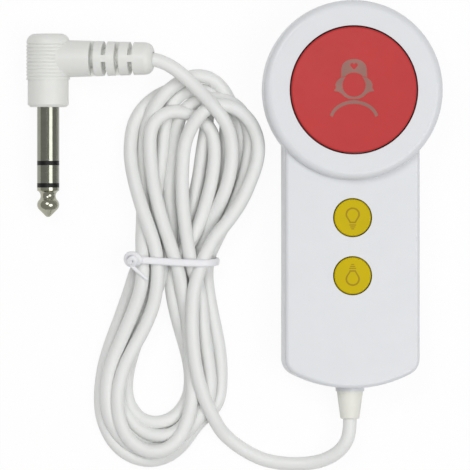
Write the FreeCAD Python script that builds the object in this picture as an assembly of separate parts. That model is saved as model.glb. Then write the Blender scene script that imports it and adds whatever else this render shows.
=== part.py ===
import FreeCAD, Part
import math
import os

from FreeCAD import Vector

# A nurse-call pear switch. Millimetres. The handset lies on its back: +Z is up out of its face,
# +Y runs from the lead to the head, and the origin is under the middle of the handset.

# Handset outline
handset_length = 111.5        # neck face to the top of the head
head_diameter = 51.2
head_height = 20.0
head_back_radius = 21.0       # flat round part of the head's back
body_width = 38.6
body_height = 16.0
end_arc_radius = 36.0         # shallow arc of the lead end
end_corner_radius = 5.0
neck_diameter = 8.2
neck_length = 0.9             # neck in front of the end arc
wall = 2.0
parting_height = 12.5         # where the covers meet, at the head's widest
back_edge_radius = 4.0
front_edge_radius = 1.1
head_edge_radius = 2.0
head_back_edge_radius = 2.0
least_corner = 0.5            # corners of an inner outline are never sharper
least_edge = 0.4
past = 1.0                    # how far a cut runs past the face it opens

# Lip and hooks between the covers
lip_thickness = 0.9
lip_height = 1.3
lip_clearance = 0.1
hook_angles = (50.0, 90.0, 130.0)
hook_width = 6.0
hook_thickness = 1.2
hook_clearance = 0.7          # to the inside of the rear cover's wall
hook_depth = 3.4              # below the parting plane
nib_reach = 1.0
nib_height = 1.2
pocket_clearance = 0.25
hook_root_gap = 0.1           # above the parting plane
hook_root_height = 1.3
hook_root_bite = 0.2          # into the front cover's wall

# Call button
call_diameter = 36.0
call_gap = 0.4                # round the button, in its opening
call_height = 0.6             # rim above the head
call_dish = 0.6               # depth of the dished face
call_face = 3.0               # thickness of the face at its rim
call_skirt = 1.6
call_edge_radius = 0.7
call_travel = 0.6
call_stem_diameter = 7.0
collar_wall = 1.4
collar_depth = 4.0            # below the inside of the head
lug_angles = (90.0, 210.0, 330.0)
lug_sweep = 30.0
lug_thickness = 1.2

# Light buttons
light_diameter = 10.5
light_gap = 0.35
light_height = 0.3            # above the body's face
light_spacing = 16.54
light_first_y = -6.23
light_flange_reach = 1.0
light_flange = 0.9
light_edge_radius = 0.4
light_stem_diameter = 4.0
light_travel = 0.4
light_stem_length = 0.9       # below the inside of the front cover

# Circuit board and what it carries
board_thickness = 1.6
board_width = 19.0
board_from_end = 16.85        # from the lead end of the housing
board_head_radius = 16.0
switch_side = 6.0
switch_height = 3.5
switch_cap = 0.5
switch_floor = 0.8
switch_cavity_radius = 2.4
switch_corner_radius = 0.5
plunger_radius = 1.75
plunger_clearance = 0.05
plunger_flange_radius = 2.3
plunger_flange = 0.8
plunger_left = 0.2            # still above the switch when pressed
leg_length = 1.0
leg_width = 0.7
leg_thickness = 0.3
leg_root = 0.3                # inside the switch
leg_offset = 2.1              # from the switch's middle
header_width = 8.0
header_length = 4.5
header_height = 4.2
header_gap = 1.5              # board end to the header
core_hole_height = 2.0        # above the board
core_hole_depth = 2.0
core_hole_clearance = 0.15
resistor_size = (3.2, 1.6, 0.6)
resistor_offset = 3.0
spring_mean_radius = 5.6
spring_wire_radius = 0.4
spring_turns = 4.5
spring_end_gap = 0.03

# Screws, by their distance from the middle line and along the handset
board_screw_end = (7.0, 10.0)       # from the end of the board
board_screw_middle = (7.0, 22.15)   # below the head's middle
board_screw_head_place = (9.5, 8.85)   # above the head's middle
screw_edge = 0.55             # rounding of a screw's head
board_screw_radius = 1.0
board_screw_head_radius = 2.0
board_screw_head = 1.4
board_screw_length = 5.0
board_hole_clearance = 0.25
standoff_radius = 2.4
housing_screw_end = (12.4, 10.35)      # from the lead end of the housing
housing_screw_top = (12.4, 27.15)      # below the head's middle
housing_screw_radius = 1.22
housing_screw_head_radius = 2.4
housing_screw_head = 1.8
housing_screw_length = 8.6
screw_clearance = 0.03        # round a shank in its pilot hole
counterbore_clearance = 0.2
counterbore_depth = 2.4
pillar_radius = 3.6
pillar_height = 4.5
boss_radius = 2.6
boss_gap = 0.1
clamp_screw_offset = 6.0
clamp_screw_length = 6.0

# Lead and strain relief
lead_diameter = 3.9
lead_height = 8.2             # axis above the table at the handset
lead_bore_clearance = 0.05
relief_length = 7.85          # outside the neck
relief_root_diameter = 7.5
relief_tip_diameter = 5.4
relief_edge_radius = 0.4
relief_waist_radius = 3.0
relief_waist_clearance = 0.1
relief_flange_radius = 4.7
relief_flange = 1.8
neck_inner_length = 4.35      # neck face to the inside boss
lead_from_end = 14.85         # from the lead end of the housing to the lead's cut end
clamp_width = 17.0
clamp_length = 5.0
clamp_from_end = 8.85
clamp_thickness = 2.5
clamp_gap = 0.4               # each side of the lead's middle
clamp_corner_radius = 0.8
core_radius = 0.55
core_spacing = 1.1
core_header_spacing = 2.4
core_straight = 0.8

# Jack plug, lying beside the handset
jack_x = -86.2
plug_axis_height = 6.2
jack_top_y = 25.3             # where the jack leaves the collar
jack_diameter = 6.35
sleeve_length = 15.35
insulator_length = 1.25
jack_ring_length = 5.1
jack_tip_length = 8.4
tip_shoulder = 0.9            # the tip's places are measured from its insulator
tip_neck_place = 2.4
tip_neck_radius = 2.15
tip_swell_place = 3.4
tip_swell_radius = 2.5
tip_bulge_place = 4.9
tip_slope_place = 6.3
tip_slope_radius = 2.6
tip_nose_radius = 1.1
collar_diameter = 11.7
plug_collar_length = 7.75
plug_collar_edge = 0.7
grip_diameter = 12.4
grip_length = 13.15
grip_edge_radius = 2.6
rib_count = 10
rib_pitch = 1.03
rib_depth = 0.22
rib_first = 0.6
arm_drop = 7.15               # grip top to the arm's axis
arm_tilt = 16.0               # the arm points up from the table
arm_start_diameter = 10.9
arm_end_diameter = 9.1
arm_reach = 30.6              # jack axis to the end of the arm
arm_root = 3.0                # where the arm starts inside the grip
arm_bore_start = 8.0          # the lead ends here, from the jack's axis
arm_core_radius = 2.75
arm_slot_places = (12.6, 16.2, 19.9, 23.8)
arm_slot_width = 1.3
arm_bridge = 2.0
bridge_recess = 0.05          # below the arm's surface
arm_end_radius = 2.5

# Lead routes, from one end to the other
handset_route = (
    (0.0, -63.6, 8.2), (0.0, -67.4, 8.2), (-1.6, -71.3, 7.5), (-5.0, -74.1, 5.6),
    (-10.0, -75.9, 3.6), (-16.5, -76.6, 2.0), (-23.6, -75.6, 1.95), (-30.4, -72.0, 1.95),
    (-35.6, -67.8, 3.4), (-39.2, -62.6, 5.6),
)
plug_route_turns = (
    (-54.3, 38.7, 15.2), (-51.0, 37.0, 15.6), (-47.4, 33.9, 14.7), (-43.4, 29.8, 12.4),
    (-39.8, 26.2, 9.8),
)

# Hank: a pinched bundle with two lobes, and the tie round its waist
hank_height = 11.0
hank_edge_radius = 3.0
hank_outline = (
    (-61.5, -18.0), (-61.4, -5.5), (-63.9, 8.8), (-64.1, 17.0), (-61.9, 24.5), (-54.9, 30.5),
    (-44.8, 35.6), (-37.6, 34.3), (-31.0, 28.0), (-24.9, 18.8), (-24.9, 8.0), (-30.1, -4.6),
    (-38.0, -16.0), (-38.6, -27.0), (-35.4, -43.0), (-35.0, -55.0), (-40.0, -66.0), (-48.0, -73.8),
    (-57.0, -77.2), (-65.6, -74.6), (-71.6, -66.0), (-72.8, -54.0), (-70.0, -41.5), (-64.5, -27.5),
)
hank_hole = (
    (-52.7, -31.0), (-55.9, -37.0), (-60.2, -46.6), (-61.8, -54.0), (-60.6, -60.0), (-56.4, -62.4),
    (-51.2, -61.0), (-47.6, -54.6), (-48.4, -45.8), (-50.6, -37.0),
)
hank_gap = ((-42.6, 17.5), (-45.0, 10.0), (-45.4, 4.0), (-43.4, 9.0), (-41.8, 16.0))
tie_y = -18.5
tie_width = 2.2
tie_thickness = 0.9
tie_left = -62.7
tie_right = -38.0
tie_knot_length = 3.6
tie_knot_radius = 2.0
tie_knot_edge = 0.7
tie_knot_start = (0.3, 0.3)   # from the band's left side and middle
tie_knot_way = (-1.0, 0.35)
tie_corner_radius = 0.72
tie_notch = 3.0               # room cut round the band

# Worked out from the sizes above
head_radius = head_diameter / 2
head_y = handset_length / 2 - head_radius
neck_y = -handset_length / 2
body_end_y = neck_y + neck_length
call_radius = call_diameter / 2
call_opening_radius = call_radius + call_gap
call_top = head_height + call_height
call_face_bottom = call_top - call_face
collar_bottom = head_height - wall - collar_depth
lug_radius = call_opening_radius + collar_wall - call_gap
light_radius = light_diameter / 2
cover_inside = body_height - wall
light_places = (light_first_y, light_first_y - light_spacing)
light_plunger_top = cover_inside - light_stem_length
switch_top = light_plunger_top - light_travel - plunger_left
call_plunger_top = switch_top + call_travel + plunger_left
board_top = switch_top - switch_height
board_bottom = board_top - board_thickness
board_end_y = body_end_y + board_from_end
core_hole_z = board_top + core_hole_height
lead_radius = lead_diameter / 2
relief_end_y = neck_y - relief_length
neck_inner_y = neck_y + neck_inner_length
header_start_y = board_end_y + header_gap
lead_end_y = body_end_y + lead_from_end
clamp_start_y = body_end_y + clamp_from_end
clamp_top = lead_height + clamp_gap + clamp_thickness
board_screw_places = (
    (board_screw_end[0], board_end_y + board_screw_end[1]),
    (board_screw_middle[0], head_y - board_screw_middle[1]),
    (board_screw_head_place[0], head_y + board_screw_head_place[1]),
)
housing_screw_places = (
    (housing_screw_end[0], body_end_y + housing_screw_end[1]),
    (housing_screw_top[0], head_y - housing_screw_top[1]),
)
jack_radius = jack_diameter / 2
arm_y = jack_top_y + plug_collar_length + grip_length - arm_drop


def save(name, shape):
    for solid in shape.Solids:
        if not solid.isValid():
            print("not valid:", name)
    triangles = len(shape.tessellate(0.1)[1])
    box = shape.BoundBox
    print(f"{name}: {len(shape.Solids)} solid, {len(shape.Faces)} faces, {triangles} triangles, "
          f"x {box.XMin:.1f} {box.XMax:.1f} y {box.YMin:.1f} {box.YMax:.1f} "
          f"z {box.ZMin:.1f} {box.ZMax:.1f}")
    shape.exportStep(f"parts/{name}.step")


def one_solid(shape):
    return shape.removeSplitter().Solids[0]


def box(x_low, x_high, y_low, y_high, z_low, z_high):
    return Part.makeBox(x_high - x_low, y_high - y_low, z_high - z_low, Vector(x_low, y_low, z_low))


def post(x, y, z_low, z_high, radius):
    return Part.makeCylinder(radius, z_high - z_low, Vector(x, y, z_low))


def mirrored_places(places):
    for x, y in places:
        yield -x, y
        yield x, y


def turned(profile, centre, axis):
    """A closed profile, as a wire, turned a full circle about an axis."""
    return Part.Face(profile).revolve(centre, axis, 360)


def round_edges(shape, radius, chosen):
    return shape.makeFillet(radius, [edge for edge in shape.Edges if chosen(edge)])


# Handset housing

def body_outline(inset, z):
    """The stem's outline at one height, moved inwards by inset, from the head's middle to the lead end."""
    side = body_width / 2 - inset
    big = end_arc_radius - inset
    small = max(end_corner_radius - inset, least_corner)
    big_y = body_end_y + end_arc_radius
    small_x = side - small
    small_y = big_y - math.sqrt((big - small) ** 2 - small_x ** 2)
    angle = math.atan2(small_y - big_y, small_x)
    middle = angle / 2
    tangent = Vector(big * math.cos(angle), big_y + big * math.sin(angle), z)
    bend = Vector(small_x + small * math.cos(middle), small_y + small * math.sin(middle), z)
    right_top = Vector(side, head_y, z)
    right_low = Vector(side, small_y, z)
    end = Vector(0, big_y - big, z)
    flip = [Vector(-point.x, point.y, z) for point in (right_top, right_low, bend, tangent)]
    edges = [
        Part.LineSegment(right_top, right_low).toShape(),
        Part.Arc(right_low, bend, tangent).toShape(),
        Part.Arc(tangent, end, flip[3]).toShape(),
        Part.Arc(flip[3], flip[2], flip[1]).toShape(),
        Part.LineSegment(flip[1], flip[0]).toShape(),
        Part.LineSegment(flip[0], right_top).toShape(),
    ]
    return Part.Face(Part.Wire(edges))


def body_prism(inset, back_radius, front_radius):
    """The stem, with rounded back and front edges all round but at the head."""
    low = inset
    high = body_height - inset
    prism = body_outline(inset, low).extrude(Vector(0, 0, high - low))

    def outside(edge, z):
        ends = [vertex.Point for vertex in edge.Vertexes]
        flat = all(abs(point.z - z) < 1e-6 for point in ends)
        return flat and not all(abs(point.y - head_y) < 1e-6 for point in ends)

    prism = round_edges(prism, back_radius, lambda edge: outside(edge, low))
    return round_edges(prism, front_radius, lambda edge: outside(edge, high))


def head_turning(inset, back_radius, front_radius):
    """The head as a turned form: flat back, swelling side, straight wall and rounded front edge."""
    lean = head_radius - head_back_radius
    swell = (lean ** 2 + parting_height ** 2) / (2 * lean)
    centre_x = head_radius - swell
    radius = swell - inset
    low = inset
    high = head_height - inset
    rise = parting_height - low
    foot = centre_x + math.sqrt(radius ** 2 - rise ** 2)
    half = math.asin(rise / radius) / 2
    wall_x = head_radius - inset
    points = {
        "axis_low": (0, low),
        "foot": (foot, low),
        "swell": (centre_x + radius * math.cos(half), parting_height - radius * math.sin(half)),
        "widest": (wall_x, parting_height),
        "shoulder": (wall_x, high),
        "axis_high": (0, high),
    }
    place = {name: Vector(x, head_y, z) for name, (x, z) in points.items()}
    profile = Part.Wire([
        Part.LineSegment(place["axis_low"], place["foot"]).toShape(),
        Part.Arc(place["foot"], place["swell"], place["widest"]).toShape(),
        Part.LineSegment(place["widest"], place["shoulder"]).toShape(),
        Part.LineSegment(place["shoulder"], place["axis_high"]).toShape(),
        Part.LineSegment(place["axis_high"], place["axis_low"]).toShape(),
    ])
    head = turned(profile, Vector(0, head_y, 0), Vector(0, 0, 1))

    def ring_at(edge, z):
        return abs(edge.BoundBox.ZMax - z) < 1e-6 and abs(edge.BoundBox.ZMin - z) < 1e-6

    head = round_edges(head, back_radius, lambda edge: ring_at(edge, low))
    return round_edges(head, front_radius, lambda edge: ring_at(edge, high))


def housing(inset):
    """The whole handset's form, moved inwards by inset."""
    def inner(radius):
        return max(radius - inset, least_edge)
    stem = body_prism(inset, inner(back_edge_radius), inner(front_edge_radius))
    head = head_turning(inset, inner(head_back_edge_radius), inner(head_edge_radius))
    return one_solid(head.fuse(stem))


def plan_ring(outer_inset, inner_inset, z_low, z_high):
    """A band of the handset's plan between two insets."""
    def plan(inset):
        stem = body_outline(inset, z_low).extrude(Vector(0, 0, z_high - z_low))
        return stem.fuse(post(0, head_y, z_low, z_high, head_radius - inset))
    return plan(outer_inset).cut(plan(inner_inset))


def below(z):
    return box(-body_width, body_width, -handset_length, handset_length, -past, z)


def hook_pair(angle):
    """A hook of the front cover, and the pocket that it leaves in the rear cover."""
    low = parting_height - hook_depth
    outer = head_radius - wall - hook_clearance
    half = hook_width / 2
    root_low = parting_height + hook_root_gap
    root_high = root_low + hook_root_height
    blade = box(outer - hook_thickness, outer, -half, half, low, root_high)
    blade = blade.fuse(box(outer - hook_thickness, head_radius - wall + hook_root_bite, -half, half,
                           root_low, root_high))
    nib = box(outer - hook_thickness, outer + nib_reach, -half, half, low, low + nib_height)
    gap = pocket_clearance
    pocket = box(outer - hook_thickness, outer + nib_reach + gap, -half - gap, half + gap,
                 low - gap, low + nib_height + gap)
    pair = []
    for shape in (blade.fuse(nib), pocket):
        shape.rotate(Vector(0, 0, 0), Vector(0, 0, 1), angle)
        shape.translate(Vector(0, head_y, 0))
        pair.append(shape)
    return pair


def front_cover(outer, inner):
    shell = outer.cut(below(parting_height)).cut(inner)
    collar = post(0, head_y, collar_bottom, head_height - wall / 2, call_opening_radius + collar_wall)
    shell = shell.fuse(collar)
    lip = plan_ring(wall + lip_clearance, wall + lip_clearance + lip_thickness,
                    parting_height - lip_height, parting_height)
    root = plan_ring(wall / 2, wall + lip_clearance + lip_thickness, parting_height,
                     parting_height + lip_height)
    room = Part.makeCylinder(neck_diameter / 2 + lip_clearance, neck_inner_length + lip_clearance,
                             Vector(0, neck_y, lead_height), Vector(0, 1, 0))
    shell = shell.fuse(lip.fuse(root.common(outer)).cut(room))
    for angle in hook_angles:
        shell = shell.fuse(hook_pair(angle)[0])
    for x, y in mirrored_places(housing_screw_places):
        shell = shell.fuse(post(x, y, pillar_height + boss_gap, cover_inside + wall / 2, boss_radius))
    for x, y in mirrored_places(housing_screw_places):
        top = counterbore_depth + housing_screw_length + screw_clearance
        shell = shell.cut(post(x, y, 0, top, housing_screw_radius + screw_clearance))
    shell = shell.cut(post(0, head_y, 0, head_height + past, call_opening_radius))
    for y in light_places:
        shell = shell.cut(post(0, y, 0, body_height + past, light_radius + light_gap))
    return one_solid(shell)


def rear_cover(outer, inner):
    shell = outer.common(below(parting_height)).cut(inner)
    neck_axis = Vector(0, 1, 0)
    neck_face = Vector(0, neck_y, lead_height)
    shell = shell.fuse(Part.makeCylinder(neck_diameter / 2, neck_inner_length, neck_face, neck_axis))
    waist = relief_waist_radius + relief_waist_clearance
    shell = shell.cut(Part.makeCylinder(waist, neck_inner_length + past, neck_face - neck_axis * past,
                                    neck_axis))
    for angle in hook_angles:
        shell = shell.cut(hook_pair(angle)[1])
    for x, y in mirrored_places(housing_screw_places):
        shell = shell.fuse(post(x, y, wall / 2, pillar_height, pillar_radius).common(outer))
    for x, y in mirrored_places(board_screw_places):
        shell = shell.fuse(post(x, y, wall / 2, board_bottom, standoff_radius))
    for y in (head_y,) + light_places:
        rib = box(-switch_side / 2, switch_side / 2, y - wall / 4, y + wall / 4, wall / 2, board_bottom)
        cross = box(-wall / 4, wall / 4, y - switch_side / 2, y + switch_side / 2, wall / 2, board_bottom)
        shell = shell.fuse(rib.fuse(cross))
    saddle = box(-clamp_width / 2, clamp_width / 2, clamp_start_y, clamp_start_y + clamp_length,
                 wall / 2, lead_height - clamp_gap)
    shell = shell.fuse(saddle)
    shell = shell.cut(lead_channel())
    for x, y in mirrored_places(housing_screw_places):
        head = housing_screw_head_radius + counterbore_clearance
        shell = shell.cut(post(x, y, -past, counterbore_depth, head))
        shell = shell.cut(post(x, y, 0, pillar_height + past, housing_screw_radius + counterbore_clearance))
    for x, y in mirrored_places(board_screw_places):
        depth = board_top - board_screw_length - screw_clearance
        shell = shell.cut(post(x, y, depth, board_top, board_screw_radius + screw_clearance))
    for x in (-clamp_screw_offset, clamp_screw_offset):
        y = clamp_start_y + clamp_length / 2
        depth = clamp_top - clamp_screw_length - screw_clearance
        shell = shell.cut(post(x, y, depth, lead_height, board_screw_radius + screw_clearance))
    return one_solid(shell)


def lead_channel():
    """Room for the lead between the saddle and the clamp."""
    start = Vector(0, clamp_start_y - past, lead_height)
    length = clamp_length + 2 * past
    return Part.makeCylinder(lead_radius + lead_bore_clearance, length, start, Vector(0, 1, 0))


# Buttons

def call_button():
    """Dished cap with a skirt, three lugs under the collar and a stem over the switch."""
    dish_radius = (call_radius ** 2 + call_dish ** 2) / (2 * call_dish)
    cap = post(0, head_y, collar_bottom - lug_thickness, call_top, call_radius)
    cap = round_edges(cap, call_edge_radius, lambda edge: edge.BoundBox.ZMin > call_top - 1e-6)
    hollow = post(0, head_y, 0, call_face_bottom, call_radius - call_skirt)
    cap = cap.cut(hollow)
    for angle in lug_angles:
        lug = Part.makeCylinder(lug_radius, lug_thickness, Vector(0, 0, 0), Vector(0, 0, 1), lug_sweep)
        lug.rotate(Vector(0, 0, 0), Vector(0, 0, 1), angle - lug_sweep / 2)
        lug.translate(Vector(0, head_y, collar_bottom - lug_thickness))
        cap = cap.fuse(lug.cut(hollow))
    dish_centre = Vector(0, head_y, call_top - call_dish + dish_radius)
    cap = cap.cut(Part.makeSphere(dish_radius, dish_centre))
    stem = post(0, head_y, call_plunger_top, call_face_bottom + call_face / 2, call_stem_diameter / 2)
    return one_solid(cap.fuse(stem))


def light_button(y):
    """Flat disc, flange under the cover and a short stem on the switch."""
    disc = post(0, y, cover_inside - light_flange, body_height + light_height, light_radius)
    disc = round_edges(disc, light_edge_radius, lambda edge: edge.BoundBox.ZMin > body_height)
    flange = post(0, y, cover_inside - light_flange, cover_inside,
                  light_radius + light_gap + light_flange_reach)
    stem = post(0, y, light_plunger_top, cover_inside, light_stem_diameter / 2)
    return one_solid(disc.fuse(flange).fuse(stem))


# Circuit board

def circuit_board():
    half = board_width / 2
    board = box(-half, half, board_end_y, head_y, board_bottom, board_top)
    board = board.fuse(post(0, head_y, board_bottom, board_top, board_head_radius))
    for x, y in mirrored_places(board_screw_places):
        board = board.cut(post(x, y, 0, board_top + past, board_screw_radius + board_hole_clearance))
    return one_solid(board)


def tact_switch(y):
    half = switch_side / 2
    body = box(-half, half, y - half, y + half, board_top, switch_top)
    body = round_edges(body, switch_corner_radius,
                       lambda edge: abs(edge.BoundBox.ZLength - switch_height) < 1e-6)
    for side_x in (-1, 1):
        for side_y in (-1, 1):
            x_near = side_x * (half - leg_root)
            x_far = side_x * (half + leg_length)
            y_middle = y + side_y * leg_offset
            leg = box(min(x_near, x_far), max(x_near, x_far), y_middle - leg_width / 2,
                      y_middle + leg_width / 2, board_top, board_top + leg_thickness)
            body = body.fuse(leg)
    body = body.cut(post(0, y, board_top + switch_floor, switch_top - switch_cap, switch_cavity_radius))
    body = body.cut(post(0, y, board_top + switch_floor, switch_top + past,
                         plunger_radius + plunger_clearance))
    return one_solid(body)


def plunger(y, top):
    under_cap = switch_top - switch_cap
    stem = post(0, y, under_cap - plunger_flange, top, plunger_radius)
    return one_solid(stem.fuse(post(0, y, under_cap - plunger_flange, under_cap, plunger_flange_radius)))


def call_spring():
    low = board_top + spring_wire_radius + spring_end_gap
    high = call_face_bottom - spring_wire_radius - spring_end_gap
    path = Part.makeHelix((high - low) / spring_turns, high - low, spring_mean_radius)
    wire = Part.Wire(Part.makeCircle(spring_wire_radius, Vector(spring_mean_radius, 0, 0), Vector(0, 1, 0)))
    coil = Part.Wire(path).makePipeShell([wire], True, True)
    coil.translate(Vector(0, head_y, low))
    return Part.Solid(coil) if not coil.Solids else coil.Solids[0]


def lead_header():
    half = header_width / 2
    header = box(-half, half, header_start_y, header_start_y + header_length, board_top,
                 board_top + header_height)
    for index in (-1, 0, 1):
        start = Vector(index * core_header_spacing, header_start_y, core_hole_z)
        hole = Part.makeCylinder(core_radius + core_hole_clearance, core_hole_depth, start, Vector(0, 1, 0))
        header = header.cut(hole)
    return one_solid(header)


def coding_resistors():
    length, width, height = resistor_size
    y = (light_places[0] + light_places[1]) / 2
    pair = [box(x - length / 2, x + length / 2, y - width / 2, y + width / 2, board_top, board_top + height)
            for x in (-resistor_offset, resistor_offset)]
    return Part.makeCompound(pair)


# Screws

def pan_screw(x, y, seat, length, radius, head_radius, head, down):
    """A screw whose head's underside is at seat; down is -1 when it points down."""
    head_end = seat - down * head
    crown = post(x, y, min(seat, head_end), max(seat, head_end), head_radius)
    crown = round_edges(crown, screw_edge, lambda edge: abs(edge.BoundBox.ZMin - head_end) < 1e-6
                        and abs(edge.BoundBox.ZMax - head_end) < 1e-6)
    tip = seat + down * length
    shank = post(x, y, min(seat, tip), max(seat, tip), radius)
    return one_solid(crown.fuse(shank))


def board_screws():
    return Part.makeCompound([
        pan_screw(x, y, board_top, board_screw_length, board_screw_radius, board_screw_head_radius,
                  board_screw_head, -1) for x, y in mirrored_places(board_screw_places)])


def housing_screws():
    return Part.makeCompound([
        pan_screw(x, y, counterbore_depth, housing_screw_length, housing_screw_radius,
                  housing_screw_head_radius, housing_screw_head, 1)
        for x, y in mirrored_places(housing_screw_places)])


def clamp_screws():
    y = clamp_start_y + clamp_length / 2
    return Part.makeCompound([
        pan_screw(x, y, clamp_top, clamp_screw_length, board_screw_radius, board_screw_head_radius,
                  board_screw_head, -1) for x in (-clamp_screw_offset, clamp_screw_offset)])


# Lead

def tube(points, radius, name):
    """A round tube along straight runs joined by tangent arcs, as large as the runs allow."""
    corners = [Vector(*point) for point in points]
    share = 0.45
    edges = []
    radii = []
    start = corners[0]
    for before, corner, after in zip(corners, corners[1:], corners[2:]):
        incoming = (before - corner).normalize()
        outgoing = (after - corner).normalize()
        turn = math.pi - incoming.getAngle(outgoing)
        reach = share * min(before.distanceToPoint(corner), corner.distanceToPoint(after))
        bend_radius = reach / math.tan(turn / 2)
        radii.append(bend_radius)
        arc_start = corner + incoming * reach
        arc_end = corner + outgoing * reach
        bisector = (incoming + outgoing).normalize()
        centre_distance = bend_radius / math.cos(turn / 2)
        arc_middle = corner + bisector * (centre_distance - bend_radius)
        edges.append(Part.LineSegment(start, arc_start).toShape())
        edges.append(Part.Arc(arc_start, arc_middle, arc_end).toShape())
        start = arc_end
    edges.append(Part.LineSegment(start, corners[-1]).toShape())
    path = Part.Wire(edges)
    direction = (corners[1] - corners[0]).normalize()
    ring = Part.Wire(Part.makeCircle(radius, corners[0], direction))
    shape = path.makePipeShell([ring], True, False)
    solid = shape.Solids[0] if shape.Solids else Part.Solid(shape)
    expected = math.pi * radius ** 2 * path.Length
    print(f"{name}: length {path.Length:.1f}, smallest radius {min(radii):.1f}, "
          f"volume over section times length {solid.Volume / expected:.4f}")
    return solid


def strain_relief():
    """Tapered sleeve with a waist in the neck and a flange inside."""
    def at(y, radius):
        return Vector(radius, y, lead_height)
    bore = lead_radius + lead_bore_clearance
    flange_end = neck_inner_y + relief_flange
    corners = [
        at(relief_end_y, bore), at(relief_end_y, relief_tip_diameter / 2),
        at(neck_y, relief_root_diameter / 2), at(neck_y, relief_waist_radius),
        at(neck_inner_y, relief_waist_radius),
        at(neck_inner_y, relief_flange_radius), at(flange_end, relief_flange_radius), at(flange_end, bore),
    ]
    profile = Part.makePolygon(corners + [corners[0]])
    sleeve = turned(profile, Vector(0, 0, lead_height), Vector(0, 1, 0))
    tip = relief_tip_diameter / 2
    return round_edges(sleeve, relief_edge_radius,
                       lambda edge: abs(edge.BoundBox.YMax - relief_end_y) < 1e-6
                       and abs(edge.BoundBox.XMax - tip) < 1e-6)


def lead_tail():
    start = Vector(0, relief_end_y, lead_height)
    return Part.makeCylinder(lead_radius, lead_end_y - relief_end_y, start, Vector(0, 1, 0))


def cord_cores():
    cores = []
    for index in (-1, 0, 1):
        near = index * core_spacing
        far = index * core_header_spacing
        route = (
            (near, lead_end_y, lead_height), (near, lead_end_y + core_straight, lead_height),
            (far, header_start_y - core_straight, core_hole_z), (far, header_start_y, core_hole_z),
        )
        cores.append(tube(route, core_radius, "core"))
    return Part.makeCompound(cores)


def cable_clamp():
    bar = box(-clamp_width / 2, clamp_width / 2, clamp_start_y, clamp_start_y + clamp_length,
              lead_height + clamp_gap, clamp_top)
    bar = round_edges(bar, clamp_corner_radius,
                      lambda edge: abs(edge.BoundBox.ZLength - clamp_thickness) < 1e-6)
    bar = bar.cut(lead_channel())
    for x in (-clamp_screw_offset, clamp_screw_offset):
        y = clamp_start_y + clamp_length / 2
        bar = bar.cut(post(x, y, 0, clamp_top + past, board_screw_radius + board_hole_clearance))
    return one_solid(bar)


# Hank and tie

def smooth_face(points, z):
    """A closed smooth outline that these control points pull outwards."""
    curve = Part.BSplineCurve()
    curve.buildFromPoles([Vector(x, y, z) for x, y in points], True, 3)
    return Part.Face(Part.Wire(curve.toShape()))


def tie_ring(grow):
    """The band round the waist: outside less inside."""
    y_low = tie_y - tie_width / 2
    y_high = tie_y + tie_width / 2
    outside = box(tie_left - grow, tie_right + grow, y_low, y_high, 0, hank_height + grow)
    inside = box(tie_left + tie_thickness, tie_right - tie_thickness, y_low, y_high,
                 tie_thickness, hank_height - tie_thickness)
    return outside.cut(inside)


def cord_hank():
    bundle = smooth_face(hank_outline, 0).extrude(Vector(0, 0, hank_height))
    bundle = round_edges(bundle, hank_edge_radius, lambda edge: edge.BoundBox.ZLength < 1e-6)
    through = Vector(0, 0, hank_height + 2 * past)
    hole = smooth_face(hank_hole, -past).extrude(through)
    gap = smooth_face(hank_gap, -past).extrude(through)
    bundle = bundle.cut(hole).cut(gap).cut(tie_ring(tie_notch))
    return one_solid(bundle)


def hank_tie():
    band = tie_ring(0)
    band = round_edges(band, tie_corner_radius, lambda edge: abs(edge.BoundBox.YLength - tie_width) < 1e-6
                       and (abs(edge.BoundBox.XMin - tie_left) < 1e-6
                            or abs(edge.BoundBox.XMax - tie_right) < 1e-6))
    start = Vector(tie_left + tie_knot_start[0], tie_y + tie_knot_start[1], hank_height - tie_knot_radius)
    knot = Part.makeCylinder(tie_knot_radius, tie_knot_length, start, Vector(*tie_knot_way, 0))
    knot = round_edges(knot, tie_knot_edge, lambda edge: len(edge.Vertexes) == 1)
    return one_solid(band.fuse(knot))


# Plug

def jack_profile(points):
    """Turn a profile of (distance from the collar, radius) pairs about the jack's axis."""
    axis = Vector(jack_x, 0, plug_axis_height)
    corners = [Vector(jack_x + radius, jack_top_y - distance, plug_axis_height)
               for distance, radius in points]
    return turned(Part.makePolygon(corners + [corners[0]]), axis, Vector(0, 1, 0))


def contact(start, length):
    end = start + length
    return jack_profile([(start, 0), (start, jack_radius), (end, jack_radius), (end, 0)])


def plug_tip(start):
    """Shoulder, hollow neck, round swell and rounded nose."""
    def at(distance, radius):
        return Vector(jack_x + radius, jack_top_y - start - distance, plug_axis_height)

    def on_nose(angle):
        angle = math.radians(angle)
        return at(jack_tip_length - tip_nose_radius + tip_nose_radius * math.cos(angle),
                  tip_nose_radius * math.sin(angle))
    shoulder = at(tip_shoulder, jack_radius)
    swell = at(tip_swell_place, tip_swell_radius)
    slope = at(tip_slope_place, tip_slope_radius)
    edges = [
        Part.LineSegment(at(0, 0), at(0, jack_radius)).toShape(),
        Part.LineSegment(at(0, jack_radius), shoulder).toShape(),
        Part.Arc(shoulder, at(tip_neck_place, tip_neck_radius), swell).toShape(),
        Part.Arc(swell, at(tip_bulge_place, jack_radius), slope).toShape(),
        Part.LineSegment(slope, on_nose(45)).toShape(),
        Part.Arc(on_nose(45), on_nose(22.5), on_nose(0)).toShape(),
        Part.LineSegment(at(jack_tip_length, 0), at(0, 0)).toShape(),
    ]
    return turned(Part.Wire(edges), Vector(jack_x, 0, plug_axis_height), Vector(0, 1, 0))


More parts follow.
